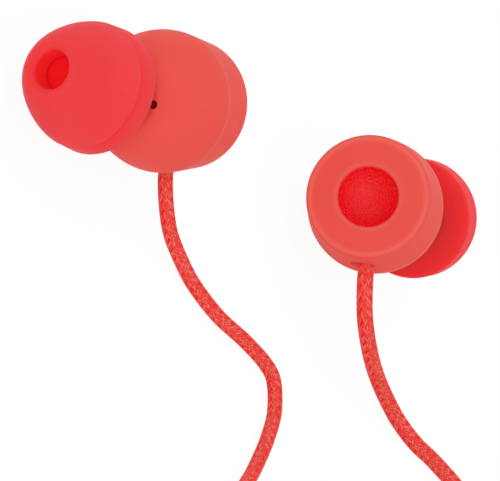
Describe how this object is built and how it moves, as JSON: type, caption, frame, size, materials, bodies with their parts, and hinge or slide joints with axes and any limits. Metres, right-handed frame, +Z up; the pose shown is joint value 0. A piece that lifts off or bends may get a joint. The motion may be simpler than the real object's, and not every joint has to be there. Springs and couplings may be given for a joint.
{
  "type": "wired earphones",
  "caption": "Wired in-ear earphones with pull-off silicone tips, round dished housings, a braided fabric cord with a splitter, and a jack plug, lying on a surface.",
  "frame": {"origin": "middle of the footprint of the two earpieces' box, on the surface they lie on", "axes": "+Z up from the surface; +X along the line from the left earpiece's ear tip to the right earpiece's ear tip; the cords run off towards -Y"},
  "size_m": [0.0918, 0.0861, 0.0166],
  "materials": {
    "housing": "soft-touch matte coral red",
    "silicone": "matte moulded silicone",
    "mesh": "red lacquered fine mesh",
    "grille": "fine pebbled red grille",
    "felt": "acoustic felt",
    "foam": "closed-cell foam",
    "frame_metal": "pressed, satin",
    "film": "clear polymer film",
    "copper": "enamelled copper wire",
    "steel": "plated steel",
    "magnet": "nickel-plated magnet",
    "board": "circuit board",
    "crimp": "crimped metal",
    "braid": "braided coral and red yarn",
    "tie": "matte rubber band",
    "soft_touch": "soft-touch matte coral red",
    "boot": "matte flexible moulding",
    "contact": "gold-plated, polished",
    "insulator": "black moulded"
  },
  "bodies": {
    "base": {"left_housing_front": "housing", "left_housing_back": "housing", "left_nozzle_mesh": "mesh", "left_back_grille": "grille", "left_back_felt": "felt", "left_driver_gasket": "foam", "left_driver_frame": "frame_metal", "left_surround": "foam", "left_top_plate": "steel", "left_magnet": "magnet", "left_yoke": "steel", "left_terminal_board": "board", "left_lead_wires": "copper", "left_cord_crimp": "crimp", "right_housing_front": "housing", "right_housing_back": "housing", "right_nozzle_mesh": "mesh", "right_back_grille": "grille", "right_back_felt": "felt", "right_driver_gasket": "foam", "right_driver_frame": "frame_metal", "right_surround": "foam", "right_top_plate": "steel", "right_magnet": "magnet", "right_yoke": "steel", "right_terminal_board": "board", "right_lead_wires": "copper", "right_cord_crimp": "crimp", "left_cord": "braid", "right_cord": "braid", "left_coil": "braid", "right_coil": "braid", "left_coil_tie": "tie", "right_coil_tie": "tie", "left_tail": "braid", "right_tail": "braid", "splitter_top": "soft_touch", "splitter_bottom": "soft_touch", "main_cord": "braid", "main_coil": "braid", "main_coil_tie": "tie", "main_tail": "braid", "plug_boot": "boot", "plug_grip": "soft_touch", "plug_sleeve": "contact", "plug_rear_insulator": "insulator", "plug_ring": "contact", "plug_front_insulator": "insulator", "plug_tip": "contact"},
    "left_tip": {"left_ear_tip": "silicone"},
    "right_tip": {"right_ear_tip": "silicone"},
    "left_cone": {"left_diaphragm": "film", "left_voice_coil": "copper"},
    "right_cone": {"right_diaphragm": "film", "right_voice_coil": "copper"}
  },
  "joints": [
    {"name": "left_tip_pull", "type": "slide", "parent": "base", "child": "left_tip", "axis": [-0.9765, 0.2118, 0.0411], "range_m": [0, 0.008]},
    {"name": "right_tip_pull", "type": "slide", "parent": "base", "child": "right_tip", "axis": [0.9813, 0.0647, -0.1814], "range_m": [0, 0.008]},
    {"name": "left_cone_stroke", "type": "slide", "parent": "base", "child": "left_cone", "axis": [-0.9854, -0.0258, 0.1685], "range_m": [-0.00015, 0.00015], "stiffness_N_per_m": 150},
    {"name": "right_cone_stroke", "type": "slide", "parent": "base", "child": "right_cone", "axis": [0.907, -0.038, -0.4195], "range_m": [-0.00015, 0.00015], "stiffness_N_per_m": 150}
  ]
}
